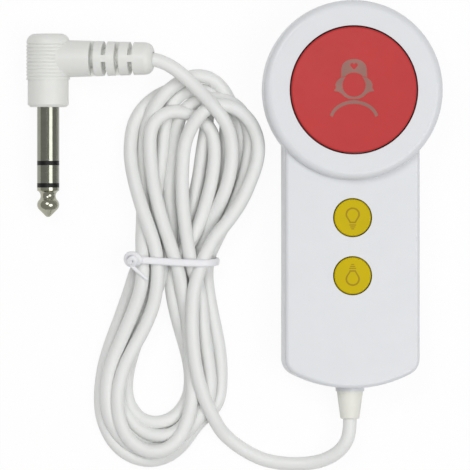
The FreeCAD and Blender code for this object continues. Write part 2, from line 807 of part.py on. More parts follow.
def plug_grip():
    """Collar and ribbed grip, turned about the jack's axis."""
    collar_radius = collar_diameter / 2
    grip_radius = grip_diameter / 2
    top = plug_collar_length + grip_length

    def at(distance, radius):
        return Vector(jack_x - radius, jack_top_y + distance, plug_axis_height)

    corners = [at(0, 0), at(0, collar_radius - plug_collar_edge), at(plug_collar_edge, collar_radius),
               at(plug_collar_length, collar_radius), at(plug_collar_length, grip_radius)]
    for index in range(rib_count):
        rib_start = plug_collar_length + rib_first + index * rib_pitch
        corners.append(at(rib_start, grip_radius))
        corners.append(at(rib_start + rib_pitch / 4, grip_radius - rib_depth))
        corners.append(at(rib_start + rib_pitch / 2, grip_radius))
    straight_end = top - grip_edge_radius
    round_x = grip_radius - grip_edge_radius
    edges = Part.makePolygon(corners + [at(straight_end, grip_radius)]).Edges
    half_way = grip_edge_radius * math.sqrt(0.5)
    middle = at(straight_end + half_way, round_x + half_way)
    edges.append(Part.Arc(at(straight_end, grip_radius), middle, at(top, round_x)).toShape())
    edges.append(Part.LineSegment(at(top, round_x), at(top, 0)).toShape())
    edges.append(Part.LineSegment(at(top, 0), at(0, 0)).toShape())
    return turned(Part.Wire(edges), Vector(jack_x, 0, plug_axis_height), Vector(0, 1, 0))


def arm_radius(distance):
    """The arm tapers evenly from the grip's middle to its end."""
    share = distance / arm_reach
    return (arm_start_diameter + (arm_end_diameter - arm_start_diameter) * share) / 2


def plug_arm():
    """Tapered arm with four slots down to a core; bridges cross each slot, by turns front and side."""
    def at(distance, radius):
        return Vector(jack_x + distance, arm_y, plug_axis_height + radius)
    corners = [at(arm_root, 0), at(arm_root, arm_radius(arm_root))]
    for place in arm_slot_places:
        corners += [at(place, arm_radius(place)), at(place, arm_core_radius),
                    at(place + arm_slot_width, arm_core_radius),
                    at(place + arm_slot_width, arm_radius(place + arm_slot_width))]
    corners += [at(arm_reach, arm_radius(arm_reach)), at(arm_reach, 0)]
    arm_axis = Vector(0, arm_y, plug_axis_height)
    arm = turned(Part.makePolygon(corners + [corners[0]]), arm_axis, Vector(1, 0, 0))
    arm = round_edges(arm, arm_end_radius, lambda edge: edge.BoundBox.XMin > jack_x + arm_reach - 1e-6)
    for index, place in enumerate(arm_slot_places):
        reach = arm_radius(place + arm_slot_width) - bridge_recess
        half = arm_bridge / 2
        x_low = jack_x + place
        x_high = x_low + arm_slot_width
        if index % 2:
            bridge = box(x_low, x_high, arm_y - half, arm_y + half, plug_axis_height - reach,
                         plug_axis_height + reach)
        else:
            bridge = box(x_low, x_high, arm_y - reach, arm_y + reach, plug_axis_height - half,
                         plug_axis_height + half)
        arm = arm.fuse(bridge)
    bore_start = Vector(jack_x + arm_bore_start, arm_y, plug_axis_height)
    bore = Part.makeCylinder(lead_radius + lead_bore_clearance, arm_reach, bore_start, Vector(1, 0, 0))
    return arm, bore


def plug_body():
    arm, bore = plug_arm()
    body = one_solid(plug_grip().fuse(arm).cut(bore))
    body.rotate(Vector(jack_x, 0, plug_axis_height), Vector(0, 1, 0), -arm_tilt)
    return body


def arm_point(distance):
    """A place on the tilted arm's axis, that far from the jack's axis."""
    tilt = math.radians(arm_tilt)
    return (jack_x + distance * math.cos(tilt), arm_y, plug_axis_height + distance * math.sin(tilt))


def build():
    os.makedirs("parts", exist_ok=True)
    outer = housing(0)
    inner = housing(wall)
    save("front_cover", front_cover(outer, inner))
    save("rear_cover", rear_cover(outer, inner))
    save("call_button", call_button())
    save("light_on_button", light_button(light_places[0]))
    save("light_off_button", light_button(light_places[1]))
    save("circuit_board", circuit_board())
    save("call_switch", tact_switch(head_y))
    save("call_plunger", plunger(head_y, call_plunger_top))
    save("light_on_switch", tact_switch(light_places[0]))
    save("light_on_plunger", plunger(light_places[0], light_plunger_top))
    save("light_off_switch", tact_switch(light_places[1]))
    save("light_off_plunger", plunger(light_places[1], light_plunger_top))
    save("call_spring", call_spring())
    save("lead_header", lead_header())
    save("coding_resistors", coding_resistors())
    save("board_screws", board_screws())
    save("housing_screws", housing_screws())
    save("clamp_screws", clamp_screws())
    save("cable_clamp", cable_clamp())
    save("lead_tail", lead_tail())
    save("cord_cores", cord_cores())
    save("strain_relief", strain_relief())

    save("cord_hank", cord_hank())
    save("hank_tie", hank_tie())
    save("handset_lead", tube(handset_route, lead_radius, "handset_lead"))
    plug_route = (arm_point(arm_reach),) + plug_route_turns
    save("plug_lead", tube(plug_route, lead_radius, "plug_lead"))

    save("plug_body", plug_body())
    place = 0
    save("plug_sleeve", contact(place, sleeve_length))
    place += sleeve_length
    save("plug_insulator_1", contact(place, insulator_length))
    place += insulator_length
    save("plug_ring", contact(place, jack_ring_length))
    place += jack_ring_length
    save("plug_insulator_2", contact(place, insulator_length))
    place += insulator_length
    save("plug_tip", plug_tip(place))


build()
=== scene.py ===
import bpy
import bmesh
import math
from mathutils import Matrix, Vector
from mathutils.bvhtree import BVHTree


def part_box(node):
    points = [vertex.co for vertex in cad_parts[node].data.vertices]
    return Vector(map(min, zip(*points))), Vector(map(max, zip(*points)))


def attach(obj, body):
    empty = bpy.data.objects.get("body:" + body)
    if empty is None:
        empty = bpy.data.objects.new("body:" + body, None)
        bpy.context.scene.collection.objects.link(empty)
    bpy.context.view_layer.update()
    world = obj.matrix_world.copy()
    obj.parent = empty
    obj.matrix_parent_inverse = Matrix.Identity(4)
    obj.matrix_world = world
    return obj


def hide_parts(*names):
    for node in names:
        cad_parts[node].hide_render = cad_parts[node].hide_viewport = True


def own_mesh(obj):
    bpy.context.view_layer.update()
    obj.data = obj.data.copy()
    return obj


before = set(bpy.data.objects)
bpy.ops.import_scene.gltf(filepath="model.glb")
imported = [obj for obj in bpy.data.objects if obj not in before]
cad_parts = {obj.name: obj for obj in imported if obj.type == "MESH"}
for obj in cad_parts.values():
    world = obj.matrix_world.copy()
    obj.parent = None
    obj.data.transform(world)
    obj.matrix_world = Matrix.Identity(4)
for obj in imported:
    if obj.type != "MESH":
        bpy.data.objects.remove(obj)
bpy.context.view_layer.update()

MM = 0.001
HANDSET = "handset"


# Camera, at the photograph's angle: almost straight down, leaning a little to the left

CAMERA_TILT = math.radians(5.24)
CAMERA_TARGET = (-32.17, -11.17, 0)
CAMERA_DISTANCE = 4.0
VIEW_WIDTH = 0.1343
SENSOR_MM = 36
CLIP_NEAR = 0.1
CLIP_FAR = 20


def make_camera():
    data = bpy.data.cameras.new("camera")
    data.sensor_width = SENSOR_MM
    data.lens = SENSOR_MM * CAMERA_DISTANCE / VIEW_WIDTH
    data.clip_start = CLIP_NEAR
    data.clip_end = CLIP_FAR
    camera = bpy.data.objects.new("camera", data)
    bpy.context.scene.collection.objects.link(camera)
    right = Vector((math.cos(CAMERA_TILT), 0, math.sin(CAMERA_TILT)))
    back = Vector((-math.sin(CAMERA_TILT), 0, math.cos(CAMERA_TILT)))
    turn = Matrix((right, Vector((0, 1, 0)), back)).transposed()
    place = Vector(CAMERA_TARGET) * MM + back * CAMERA_DISTANCE
    camera.matrix_world = Matrix.Translation(place) @ turn.to_4x4()
    bpy.context.scene.camera = camera


make_camera()


# Materials. Sizes of patches and depths of bumps are in millimetres, colours are 0 to 255.

MIX_SHARE, MIX_FIRST, MIX_SECOND, MIX_RESULT = 0, 6, 7, 2   # sockets of a colour mix node
NOISE_LOW, NOISE_HIGH = 0.3, 0.7                            # where most of a noise's values lie

FLOW_MM, FLOW_DETAIL = 9, 3
GLOSS_MM, GLOSS_DETAIL, GLOSS_SPREAD = 2.2, 4, 0.12
GRAIN_DETAIL, GRAIN_STRENGTH = 3, 0.5
COAT_ROUGHNESS = 0.12
SOFT_RADIUS, SOFT_MM = (1.0, 0.9, 0.8), 0.8

TARNISH_MM, TARNISH_DETAIL, TARNISH_DULLS = 1.8, 4, 0.9
MARKS_MM, MARKS_DETAIL, MARKS_STRENGTH, MARKS_DEPTH = 0.5, 4, 0.25, 0.004
SMOOTHEST, ROUGHEST = 0.75, 1.3
TURNED = (1, 14, 1)                                         # marks that run round the jack


class Surface:
    """A material with a few helpers for its nodes."""

    def __init__(self, name):
        self.material = bpy.data.materials.new(name)
        self.material.use_nodes = True
        self.tree = self.material.node_tree
        self.shader = self.tree.nodes["Principled BSDF"]
        self.place = self.tree.nodes.new("ShaderNodeTexCoord").outputs["Object"]

    def node(self, kind, **sockets):
        made = self.tree.nodes.new(kind)
        for name, value in sockets.items():
            made.inputs[name].default_value = value
        return made

    def link(self, start, end):
        self.tree.links.new(start, end)

    def noise(self, size_mm, detail, stretch=(1, 1, 1)):
        """Noise whose patches are about that large."""
        place = self.place
        if stretch != (1, 1, 1):
            mapping = self.node("ShaderNodeMapping", Scale=stretch)
            self.link(place, mapping.inputs["Vector"])
            place = mapping.outputs["Vector"]
        made = self.node("ShaderNodeTexNoise", Scale=1 / (size_mm * MM), Detail=detail)
        self.link(place, made.inputs["Vector"])
        return made.outputs["Fac"]

    def spread(self, value, low, high):
        """The middle of the noise, stretched to run from low to high."""
        made = self.node("ShaderNodeMapRange", **{
            "From Min": NOISE_LOW, "From Max": NOISE_HIGH, "To Min": low, "To Max": high})
        self.link(value, made.inputs["Value"])
        return made.outputs["Result"]

    def mix(self, share, first, second):
        made = self.tree.nodes.new("ShaderNodeMix")
        made.data_type = "RGBA"
        made.inputs[MIX_FIRST].default_value = (*first, 1)
        made.inputs[MIX_SECOND].default_value = (*second, 1)
        self.link(share, made.inputs[MIX_SHARE])
        return made.outputs[MIX_RESULT]

    def bump(self, height, strength, depth_mm):
        made = self.node("ShaderNodeBump", Strength=strength, Distance=depth_mm * MM)
        self.link(height, made.inputs["Height"])
        self.link(made.outputs["Normal"], self.shader.inputs["Normal"])


def linear(colour):
    """The linear values of a colour that is given as the photograph's 0 to 255 values."""
    def one(value):
        value /= 255
        return value / 12.92 if value <= 0.04045 else ((value + 0.055) / 1.055) ** 2.4
    return tuple(one(value) for value in colour)


def moulded(name, colour, roughness, mottle=0.02, grain_mm=0.12, grain_depth=0.01, soft=0.0,
            coat=0.0, specular=0.5):
    """Moulded plastic: faint flow marks in the colour, uneven gloss and a fine grain."""
    surface = Surface(name)
    inputs = surface.shader.inputs
    base = linear(colour)
    darker = tuple(value * (1 - mottle) for value in base)
    lighter = tuple(min(value * (1 + mottle), 1) for value in base)
    flow = surface.spread(surface.noise(FLOW_MM, FLOW_DETAIL), 0, 1)
    surface.link(surface.mix(flow, darker, lighter), inputs["Base Color"])
    gloss = surface.spread(surface.noise(GLOSS_MM, GLOSS_DETAIL), roughness * (1 - GLOSS_SPREAD),
                           min(roughness * (1 + GLOSS_SPREAD), 1))
    surface.link(gloss, inputs["Roughness"])
    surface.bump(surface.noise(grain_mm, GRAIN_DETAIL), GRAIN_STRENGTH, grain_depth)
    inputs["Specular IOR Level"].default_value = specular
    inputs["Coat Weight"].default_value = coat
    inputs["Coat Roughness"].default_value = COAT_ROUGHNESS
    if soft:
        inputs["Subsurface Weight"].default_value = soft
        inputs["Subsurface Radius"].default_value = SOFT_RADIUS
        inputs["Subsurface Scale"].default_value = SOFT_MM * MM
    return surface


def metal(name, colour, roughness, brushed=(1, 1, 1)):
    """Plated metal with fine turning marks and a little tarnish."""
    surface = Surface(name)
    base = linear(colour)
    duller = tuple(value * TARNISH_DULLS for value in base)
    tarnish = surface.spread(surface.noise(TARNISH_MM, TARNISH_DETAIL), 0, 1)
    surface.link(surface.mix(tarnish, base, duller), surface.shader.inputs["Base Color"])
    surface.shader.inputs["Metallic"].default_value = 1
    marks = surface.noise(MARKS_MM, MARKS_DETAIL, brushed)
    gloss = surface.spread(marks, roughness * SMOOTHEST, roughness * ROUGHEST)
    surface.link(gloss, surface.shader.inputs["Roughness"])
    surface.bump(marks, MARKS_STRENGTH, MARKS_DEPTH)
    return surface


housing = moulded("housing", (217, 219, 222), 0.34, mottle=0.008, grain_mm=0.22,
                  grain_depth=0.012, soft=0.08)
red = moulded("call_red", (188, 54, 54), 0.42, mottle=0.03, grain_mm=0.3, grain_depth=0.015,
              specular=0.2)
yellow = moulded("light_yellow", (199, 176, 4), 0.4, mottle=0.03, grain_mm=0.3,
                 grain_depth=0.012, specular=0.08)
cord_skin = moulded("cord_skin", (230, 231, 229), 0.46, mottle=0.012, grain_mm=0.4,
                    grain_depth=0.02, soft=0.12)
relief = moulded("relief", (229, 229, 221), 0.5, mottle=0.02, grain_mm=0.3, grain_depth=0.02,
                 soft=0.1)
plug_skin = moulded("plug_skin", (226, 227, 223), 0.44, mottle=0.015, grain_mm=0.3,
                    grain_depth=0.018, soft=0.1)
tie_skin = moulded("tie_skin", (232, 232, 235), 0.34, mottle=0.01, grain_mm=0.2,
                   grain_depth=0.015, soft=0.1)
call_ink = moulded("call_ink", (150, 106, 97), 0.55, mottle=0.08, grain_mm=0.2, specular=0.3)
light_ink = moulded("light_ink", (163, 134, 12), 0.55, mottle=0.06, grain_mm=0.2, specular=0.2)
black = moulded("insulator", (9, 9, 10), 0.4, mottle=0.1, grain_mm=0.2, specular=0.3)
board_green = moulded("board_green", (34, 92, 58), 0.35, mottle=0.12, grain_mm=0.5, coat=0.4)
switch_black = moulded("switch_black", (24, 25, 27), 0.45, mottle=0.1)
header_cream = moulded("header_cream", (222, 214, 190), 0.45)
resistor_black = moulded("resistor_black", (30, 30, 34), 0.5, mottle=0.1)
clamp_white = moulded("clamp_white", (214, 214, 210), 0.45)
core_insulation = moulded("core_insulation", (150, 60, 52), 0.4)
# Two copies of one nickel plating: the sleeve and ring take the plain one, the tip a lighter copy
# that is a painted highlight standing for its brighter shine
nickel = metal("nickel", (146, 148, 136), 0.12, brushed=TURNED)
tip_nickel_painted_highlight = metal("tip_nickel_painted_highlight", (170, 170, 154), 0.12, brushed=TURNED)
steel = metal("steel", (176, 178, 180), 0.32)
spring_steel = metal("spring_steel", (150, 152, 156), 0.3)

# The solids that are shown as they are, by what they are made of
SHOWN_SOLIDS = (
    (housing, ("front_cover", "rear_cover")),
    (red, ("call_button",)),
    (yellow, ("light_on_button", "light_off_button")),
    (board_green, ("circuit_board",)),
    (switch_black, ("call_switch", "light_on_switch", "light_off_switch",
                    "call_plunger", "light_on_plunger", "light_off_plunger")),
    (header_cream, ("lead_header",)),
    (resistor_black, ("coding_resistors",)),
    (steel, ("board_screws", "housing_screws", "clamp_screws")),
    (clamp_white, ("cable_clamp",)),
    (cord_skin, ("lead_tail",)),
    (core_insulation, ("cord_cores",)),
    (relief, ("strain_relief",)),
    (plug_skin, ("plug_body",)),
    (nickel, ("plug_sleeve", "plug_ring")),
    # the tip's lighter nickel is a painted highlight, not a different metal
    (tip_nickel_painted_highlight, ("plug_tip",)),
    (black, ("plug_insulator_1", "plug_insulator_2")),
)
for surface, nodes in SHOWN_SOLIDS:
    for node in nodes:
        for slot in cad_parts[node].material_slots:
            slot.material = surface.material


def piece(name, data, surface, body=HANDSET):
    made = bpy.data.objects.new(name, data)
    bpy.context.scene.collection.objects.link(made)
    data.materials.append(surface.material)
    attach(made, body)
    return made


# The cord: one lead from the handset through the tied hank to the plug. The route's points are
# in millimetres, in the order in which the lead runs.

CORD_DIAMETER = 3.9 * MM
HANDSET_ROUTE = (
    (0, -63.6, 8.2), (0, -67.2, 8.2), (-1.2, -70.9, 7.8), (-4.0, -73.9, 6.4), (-8.2, -75.9, 4.6),
    (-13.2, -76.6, 2.9), (-18.9, -76.5, 2.0), (-25.0, -75.2, 1.95), (-30.9, -72.0, 1.95),
    (-36.1, -67.8, 3.4),
)
HANK = (
    # up through the lower lobe and under the tie
    (-39.0, -63.2, 6.2), (-41.4, -58.3, 7.0), (-42.9, -54.0, 7.8), (-44.0, -49.7, 8.4),
    (-44.9, -44.0, 8.8), (-45.4, -35.5, 8.8), (-44.9, -27.2, 9.1), (-43.5, -21.7, 9.4),
    # turn 1, upper lobe
    (-41.5, -16.6, 9.5), (-38.8, -11.7, 9.3), (-34.4, -6.6, 8.8), (-30.8, -1.2, 8.4),
    (-28.3, 4.5, 7.8), (-26.5, 9.4, 7.5), (-26.0, 14.3, 7.4), (-27.1, 18.8, 7.5),
    (-29.4, 22.4, 7.7), (-32.3, 24.7, 7.9), (-35.5, 25.9, 7.9), (-38.6, 25.9, 7.9),
    (-41.5, 24.5, 7.9), (-43.9, 21.8, 7.6), (-46.0, 18.3, 6.8), (-47.3, 14.0, 6.2),
    (-47.8, 8.5, 6), (-47.9, 2.8, 6.2), (-47.7, -2.9, 6.8), (-47.2, -8.6, 7.8),
    (-46.6, -12.9, 8.6), (-46.0, -17.2, 9),
    # turn 1, lower lobe
    (-44.9, -21.5, 7.6), (-43.2, -25.7, 5.8), (-42.2, -30.6, 5.3), (-41.8, -36.9, 5.2),
    (-41.0, -43.2, 5.2), (-40.1, -48.6, 5.2), (-39.6, -53.7, 5), (-40.2, -58.3, 4.4),
    (-42.1, -62.3, 3.8), (-45.2, -66.3, 3.3), (-49.5, -70.0, 3), (-54.5, -72.3, 3),
    (-59.4, -72.5, 3.2), (-63.6, -70.5, 3.6), (-66.8, -66.9, 4.2), (-68.8, -62.6, 4.8),
    (-69.4, -58.0, 5), (-69.2, -52.9, 5.2), (-68.1, -48.0, 5.3), (-66.4, -43.7, 5.5),
    (-63.5, -36.9, 6.4), (-60.8, -30.0, 7.6), (-59.6, -25.2, 8.6), (-59.4, -20.6, 9.2),
    # turn 2, upper lobe
    (-59.5, -16.6, 8.6), (-59.4, -12.6, 6.6), (-59.1, -8.3, 5), (-58.8, -3.2, 3.4),
    (-58.7, 2.0, 2.3), (-58.8, 7.4, 1.95), (-58.9, 12.5, 1.95), (-58.3, 17.7, 2.3),
    (-57.0, 22.3, 3.6), (-55.2, 26.1, 5.2), (-52.7, 29.3, 5.9), (-49.8, 31.7, 6.1),
    (-46.8, 33.5, 5.9), (-43.9, 34.3, 5.4), (-40.8, 34.0, 5), (-38.2, 32.7, 4.4),
    (-35.9, 30.4, 3.6), (-34.0, 27.1, 2.6), (-31.9, 23.1, 2), (-30.6, 18.5, 1.95),
    (-30.3, 13.1, 1.95), (-30.8, 8.0, 1.95), (-31.9, 2.8, 1.95), (-33.9, -2.0, 1.95),
    (-37.1, -6.9, 1.95), (-41.0, -10.6, 2), (-46.1, -13.7, 2.2), (-51.0, -16.6, 2.5),
    # turn 2, lower lobe
    (-54.5, -19.5, 2.6), (-56.1, -24.0, 2.3), (-57.0, -29.7, 2), (-59.0, -36.9, 1.95),
    (-61.5, -44.0, 1.95), (-63.0, -49.2, 1.95), (-63.6, -53.7, 1.95), (-63.4, -57.5, 1.95),
    (-62.1, -60.7, 2.2), (-59.8, -63.5, 2.7), (-56.8, -64.7, 3.1), (-53.6, -64.7, 3.2),
    (-50.2, -63.4, 3), (-47.4, -60.6, 2.5), (-45.6, -57.2, 2.1), (-45.0, -53.2, 1.95),
    (-45.3, -48.6, 2), (-46.3, -44.0, 2.2), (-48.5, -36.9, 3), (-50.4, -29.7, 4.2),
    (-51.0, -24.0, 5.2), (-50.2, -20.0, 5.9),
    # turn 3, upper lobe
    (-48.5, -17.2, 6), (-45.8, -13.7, 5.8), (-43.5, -9.7, 5.4), (-42.0, -5.5, 5.2),
    (-40.7, -1.2, 5.2), (-39.5, 3.4, 5.3), (-38.7, 8.0, 5.3), (-38.4, 12.5, 5.1),
    (-38.7, 16.5, 4.7), (-39.9, 19.5, 4.3), (-42.2, 21.8, 4.1), (-45.0, 23.2, 4.3),
    (-49.4, 24.2, 5.3), (-52.4, 23.7, 5.8), (-55.0, 22.0, 6), (-56.6, 19.5, 5.9),
    (-57.1, 16.5, 5.8), (-57.1, 12.8, 5.8), (-56.6, 6.8, 6), (-55.4, -0.6, 6.6),
    (-53.7, -7.2, 7.8), (-51.8, -12.9, 9),
    # turn 3, lower lobe
    (-50.5, -17.5, 9.4), (-49.2, -21.2, 8.8), (-48.1, -26.3, 7.2), (-46.7, -32.6, 5.6),
    (-45.7, -39.7, 5.4), (-45.3, -46.9, 5.4), (-44.9, -53.2, 5.4), (-45.0, -58.3, 5.6),
    (-46.1, -63.7, 6), (-48.4, -68.9, 6.6), (-52.0, -72.2, 6.7), (-56.6, -73.3, 6.4),
    (-61.0, -71.5, 6.2), (-64.3, -68.0, 6.2), (-66.0, -63.5, 6.4), (-66.5, -58.3, 6.6),
    (-65.9, -53.5, 6.6), (-64.6, -48.9, 6.5), (-62.2, -44.0, 6.5), (-58.7, -37.7, 6.8),
    (-56.2, -31.5, 7.6), (-55.3, -26.0, 8.6), (-55.1, -21.5, 9.3),
    # turn 4, upper lobe
    (-55.4, -16.9, 9.5), (-56.6, -12.0, 9.4), (-58.4, -6.9, 8.8), (-60.2, -1.2, 7.6),
    (-61.6, 4.5, 6), (-62.5, 10.0, 4.6), (-62.5, 14.8, 3.6), (-61.7, 20.0, 2.8),
    (-59.6, 24.1, 2.2), (-56.9, 26.9, 1.95), (-54.2, 28.8, 1.95), (-51.1, 30.2, 1.95),
    (-48.1, 30.7, 1.95), (-45.2, 30.1, 1.95), (-42.6, 28.5, 1.95), (-40.9, 26.0, 1.95),
    (-40.2, 23.1, 1.95), (-40.5, 19.8, 1.95), (-41.1, 16.5, 1.95), (-41.7, 13.1, 1.95),
    (-42.2, 9.4, 1.95), (-42.8, 5.1, 1.95), (-43.8, 0.5, 1.95), (-45.0, -4.6, 1.95),
    (-47.0, -9.2, 1.95), (-50.4, -13.5, 2), (-55.5, -15.9, 2.3),
    # turn 4, lower lobe
    (-59.1, -18.3, 2.4), (-60.8, -21.5, 2.3), (-61.9, -25.0, 2.1), (-63.0, -28.6, 1.95),
    (-65.5, -35.5, 1.95), (-68.5, -43.5, 1.95), (-70.2, -49.7, 1.95), (-70.9, -56.0, 1.95),
    (-70.8, -61.5, 1.95), (-69.4, -66.3, 1.95), (-66.8, -70.9, 1.95), (-62.6, -74.3, 1.95),
    (-57.0, -75.8, 1.95), (-51.9, -74.6, 1.95), (-47.8, -71.6, 1.95), (-45.0, -67.6, 1.95),
    (-42.4, -64.2, 1.95), (-39.4, -61.9, 1.95), (-37.2, -58.7, 1.95), (-36.5, -54.9, 1.95),
    (-36.4, -50.3, 2.2), (-36.7, -45.2, 2.4), (-37.7, -39.5, 2.6), (-39.2, -32.6, 2.8),
    (-40.2, -26.9, 2.8), (-40.7, -22.0, 2.7),
    # turn 5, upper lobe
    (-40.0, -17.5, 2.6), (-38.3, -13.5, 2.8), (-35.8, -8.6, 3.4), (-33.3, -3.5, 4),
    (-31.0, 2.0, 4.3), (-29.3, 7.4, 4.3), (-28.3, 12.8, 4.2), (-28.2, 17.4, 4.1),
    (-29.3, 21.5, 4.2), (-31.1, 24.7, 4.4), (-33.9, 26.8, 4.6), (-37.0, 27.7, 4.7),
    (-40.2, 27.8, 4.6), (-43.3, 27.1, 4.5), (-46.0, 25.5, 4), (-48.1, 23.0, 3),
    (-49.1, 19.4, 2.2), (-49.5, 15.4, 1.95), (-50.0, 10.8, 1.95), (-50.6, 6.3, 1.95),
    (-51.1, 1.7, 1.95), (-51.1, -2.9, 2.2), (-50.6, -7.7, 2.9), (-50.8, -12.6, 4.2),
    # turn 5, lower lobe
    (-52.4, -17.5, 5.8), (-54.0, -23.5, 5.2), (-56.1, -29.7, 4.4), (-59.2, -36.9, 3.9),
    (-62.6, -43.7, 3.8), (-65.2, -49.7, 3.6), (-66.0, -55.5, 3), (-65.0, -60.0, 2.6),
    (-62.3, -64.5, 2.9), (-58.5, -67.7, 3.7), (-54.1, -68.7, 4.4), (-49.7, -67.8, 4.6),
    (-46.3, -64.5, 4.3), (-44.0, -60.0, 3.4), (-42.6, -54.3, 2.4), (-41.8, -48.0, 1.95),
    (-41.8, -41.7, 1.95), (-42.5, -35.5, 1.95), (-44.5, -29.5, 2), (-46.6, -24.6, 2.3),
    # turn 6, upper lobe
    (-47.9, -20.3, 2.6), (-48.0, -16.6, 2.4), (-46.8, -13.1, 2.1), (-44.7, -9.7, 1.95),
    (-42.4, -6.2, 1.95), (-40.3, -2.6, 1.95), (-38.4, 1.1, 1.95), (-36.9, 4.8, 1.95),
    (-36.1, 9.1, 1.95), (-35.4, 13.7, 1.95), (-34.9, 18.3, 1.95), (-34.9, 22.3, 1.95),
    (-36.0, 25.8, 2.3), (-38.2, 28.5, 3), (-41.3, 30.1, 3.7), (-44.6, 30.3, 4.1),
    (-47.6, 29.4, 4.1), (-50.0, 27.3, 3.7), (-51.7, 24.4, 3), (-52.5, 20.8, 2.4),
    (-52.9, 17.1, 1.95), (-53.1, 13.4, 1.95), (-53.8, 8.8, 1.95), (-54.6, 4.0, 1.95),
    (-55.2, -1.7, 2), (-55.3, -7.2, 2.6), (-55.5, -12.6, 4.6), (-56.2, -16.6, 5.8),
    # turn 6, lower lobe
    (-57.2, -20.6, 5.8), (-57.9, -26.3, 4.8), (-59.5, -33.2, 3.6), (-62.1, -39.7, 2.8),
    (-65.1, -46.0, 2.2), (-66.9, -52.0, 1.95), (-66.9, -57.7, 1.95), (-65.7, -62.5, 2.2),
    (-62.9, -66.5, 2.2), (-59.3, -68.9, 2.1), (-55.3, -69.5, 2), (-51.4, -68.3, 1.95),
    (-48.3, -65.5, 1.95), (-45.7, -61.5, 2.1), (-43.3, -56.7, 2.2), (-41.1, -52.6, 2.1),
    (-39.9, -48.0, 1.95), (-39.8, -42.9, 1.95), (-40.5, -36.0, 1.95), (-42.0, -29.2, 2),
    (-43.7, -23.2, 2.4),
    # up and over to the plug
    (-43.9, -18.9, 2.6), (-42.5, -14.0, 2.9), (-40.4, -9.7, 3.7), (-38.6, -5.7, 4.9),
    (-36.6, -1.2, 6.2), (-34.9, 3.4, 6.8), (-33.9, 8.3, 7.0), (-33.6, 13.1, 7.2),
    (-34.3, 17.7, 7.8), (-36.0, 21.7, 9.0),
)
PLUG_ROUTE = (
    (-39.8, 26.2, 9.8), (-43.2, 29.6, 12.3), (-46.8, 33.0, 14.3), (-50.6, 36.1, 15.5),
    (-54.6, 38.3, 15.2), (-58.4, 39.05, 14.17), (-61.6, 39.05, 13.25),
)
CURVE_STEPS = 6


def smooth_curve(name, points, radius):
    """A round curve whose control points these are, in millimetres; the radius is in metres."""
    data = bpy.data.curves.new(name, "CURVE")
    data.dimensions = "3D"
    data.bevel_depth = radius
    data.bevel_resolution = CURVE_STEPS
    data.resolution_u = CURVE_STEPS
    data.use_fill_caps = True
    line = data.splines.new("NURBS")
    line.points.add(len(points) - 1)
    for point, place in zip(line.points, points):
        point.co = (*(value * MM for value in place), 1)
    line.order_u = 3
    line.use_endpoint_u = True
    return data


def make_cord():
    route = HANDSET_ROUTE + HANK + PLUG_ROUTE
    cord = piece("cord", smooth_curve("cord", route, CORD_DIAMETER / 2), cord_skin)
    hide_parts("handset_lead", "cord_hank", "plug_lead")


make_cord()


# Ribbons, for the tie

PATH_STEPS = 6
RIBBON_SIDES = 16
RIBBON_FLATTENS = (0.7, 0.8)    # powers that make the section squarer than an ellipse


def smooth_path(points, closed):
    """Points of a smooth line through these."""
    path = [Vector(point) for point in points]
    count = len(path)
    made = []
    for index in range(count if closed else count - 1):
        around = [index + step for step in (-1, 0, 1, 2)]
        if closed:
            before, start, end, after = (path[place % count] for place in around)
        else:
            before, start, end, after = (path[min(max(place, 0), count - 1)] for place in around)
        for step in range(PATH_STEPS):
            t = step / PATH_STEPS
            made.append(0.5 * (2 * start + (end - before) * t
                               + (2 * before - 5 * start + 4 * end - after) * t * t
                               + (3 * start - before - 3 * end + after) * t ** 3))
    if not closed:
        made.append(path[-1])
    return made


def ribbon_section(width, thickness):
    """Corners of a rounded flat section, as distances across it and up from its middle."""
    def power(value, exponent):
        return math.copysign(abs(value) ** exponent, value)

    corners = []
    for step in range(RIBBON_SIDES):
        angle = 2 * math.pi * step / RIBBON_SIDES
        corners.append((power(math.cos(angle), RIBBON_FLATTENS[0]) * width / 2,
                        power(math.sin(angle), RIBBON_FLATTENS[1]) * thickness / 2))
    return corners


def ribbon(mesh, points, width, thickness, across=None, closed=False, taper=1.0):
    """Add a rounded flat band along the points, in millimetres; without across it lies flat."""
    path = smooth_path(points, closed)
    count = len(path)
    section = ribbon_section(width, thickness)
    rings = []
    for index, place in enumerate(path):
        ahead = path[(index + 1) % count] if closed else path[min(index + 1, count - 1)]
        behind = path[index - 1] if closed or index else path[0]
        along = (ahead - behind).normalized()
        if across is None:
            side = Vector((0, 0, 1)).cross(along).normalized()
        else:
            side = (Vector(across) - along * along.dot(Vector(across))).normalized()
        normal = along.cross(side)
        share = 1 if closed else 1 + (taper - 1) * index / (count - 1)
        rings.append([mesh.verts.new((place + side * wide * share + normal * high * share) * MM)
                      for wide, high in section])
    pairs = list(zip(rings, rings[1:])) + ([(rings[-1], rings[0])] if closed else [])
    for first, second in pairs:
        for step in range(RIBBON_SIDES):
            after = (step + 1) % RIBBON_SIDES
            mesh.faces.new((first[step], first[after], second[after], second[step]))
    if not closed:
        mesh.faces.new(rings[0][::-1])
        mesh.faces.new(rings[-1])


def finish_mesh(name, mesh, surface, body, smooth=True):
    bmesh.ops.recalc_face_normals(mesh, faces=mesh.faces)
    data = bpy.data.meshes.new(name)
    mesh.to_mesh(data)
    mesh.free()
    for face in data.polygons:
        face.use_smooth = smooth
    return piece(name, data, surface, body)


# The tie: a thin band round the waist of the hank, with a twisted knot and a loose end

